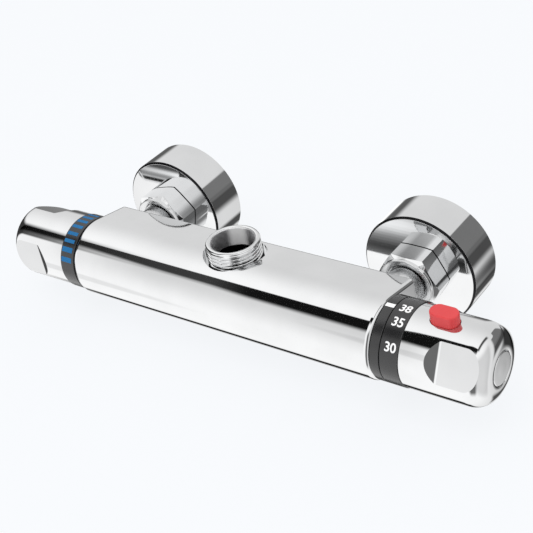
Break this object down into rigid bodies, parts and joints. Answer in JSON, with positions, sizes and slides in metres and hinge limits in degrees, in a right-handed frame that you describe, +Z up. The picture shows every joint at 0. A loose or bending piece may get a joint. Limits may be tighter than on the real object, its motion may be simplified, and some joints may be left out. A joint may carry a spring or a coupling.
{
  "type": "thermostatic shower valve",
  "caption": "Wall-mounted thermostatic shower bar valve with two scalloped handles, a temperature stop button, check valves in its inlets and a threaded top outlet.",
  "frame": {"origin": "on the finished wall face, midway between the axes of the two wall threads", "axes": "+X along the bar to the temperature handle, +Y into the wall, +Z up"},
  "size_m": [0.2746, 0.104, 0.0584],
  "materials": {
    "chrome": "polished chrome plate on cast brass or zinc",
    "black_plastic": "moulded charcoal plastic with a fine satin grain",
    "red_plastic": "moulded red plastic, semi-gloss",
    "brass": "turned brass",
    "copper": "drawn copper sleeve",
    "stainless": "bright stainless steel wire and sheet",
    "rubber": "black sealing rubber",
    "white_plastic": "natural acetal",
    "ceramic": "lapped alumina ceramic"
  },
  "bodies": {
    "valve": {"valve_body": "chrome", "outlet_spigot": "chrome", "outlet_seal": "rubber", "hot_inlet_tail": "chrome", "cold_inlet_tail": "chrome", "hot_union_nut": "chrome", "cold_union_nut": "chrome", "hot_inlet_washer": "rubber", "cold_inlet_washer": "rubber", "hot_filter_screen": "stainless", "cold_filter_screen": "stainless", "hot_check_body": "white_plastic", "cold_check_body": "white_plastic", "hot_check_spring": "stainless", "cold_check_spring": "stainless", "hot_offset_union": "brass", "cold_offset_union": "brass", "hot_wall_shroud": "chrome", "cold_wall_shroud": "chrome", "pointer_ring": "black_plastic", "stop_ring": "white_plastic", "thermostat_housing": "brass", "thermostat_o_rings": "rubber", "thermostat_spring": "stainless", "flow_cartridge": "brass", "flow_o_ring": "rubber", "flow_disc_seal": "rubber", "flow_fixed_disc": "ceramic"},
    "temp_handle": {"temp_spindle": "brass", "temp_scale_ring": "black_plastic", "temp_knob": "chrome", "temp_knob_screw": "stainless", "temp_end_cap": "chrome", "override_spring": "stainless"},
    "safety_button": {"override_button": "red_plastic"},
    "thermostat": {"thermostat_shuttle": "brass", "wax_element": "copper", "thermostat_pusher": "stainless"},
    "flow_handle": {"flow_spindle": "brass", "flow_moving_disc": "ceramic", "flow_scale_ring": "black_plastic", "flow_knob": "chrome", "flow_knob_screw": "stainless", "flow_end_cap": "chrome"},
    "hot_check": {"hot_check_poppet": "black_plastic"},
    "cold_check": {"cold_check_poppet": "black_plastic"}
  },
  "joints": [
    {"name": "temp_turn", "type": "hinge", "parent": "valve", "child": "temp_handle", "pos_m": [0.12, -0.07, 0.006], "axis": [1, 0, 0], "range_deg": [-150, 0]},
    {"name": "override_press", "type": "slide", "parent": "temp_handle", "child": "safety_button", "axis": [0, 0.0872, -0.9962], "range_m": [0, 0.002], "stiffness_N_per_m": 600, "springref_m": -0.003, "deforming": ["override_spring"]},
    {"name": "flow_turn", "type": "hinge", "parent": "valve", "child": "flow_handle", "pos_m": [-0.12, -0.07, 0.006], "axis": [-1, 0, 0], "range_deg": [0, 90]},
    {"name": "shuttle_slide", "type": "slide", "parent": "valve", "child": "thermostat", "axis": [1, 0, 0], "range_m": [-0.0018, 0.0001], "deforming": ["thermostat_spring"]},
    {"name": "hot_check_lift", "type": "slide", "parent": "valve", "child": "hot_check", "axis": [0, -1, 0], "range_m": [0, 0.0025], "stiffness_N_per_m": 30, "springref_m": -0.003, "deforming": ["hot_check_spring"]},
    {"name": "cold_check_lift", "type": "slide", "parent": "valve", "child": "cold_check", "axis": [0, -1, 0], "range_m": [0, 0.0025], "stiffness_N_per_m": 30, "springref_m": -0.003, "deforming": ["cold_check_spring"]}
  ],
  "couplings": [
    {"joint": "shuttle_slide", "follows": "temp_turn", "m_per_rad": 0.000637}
  ]
}
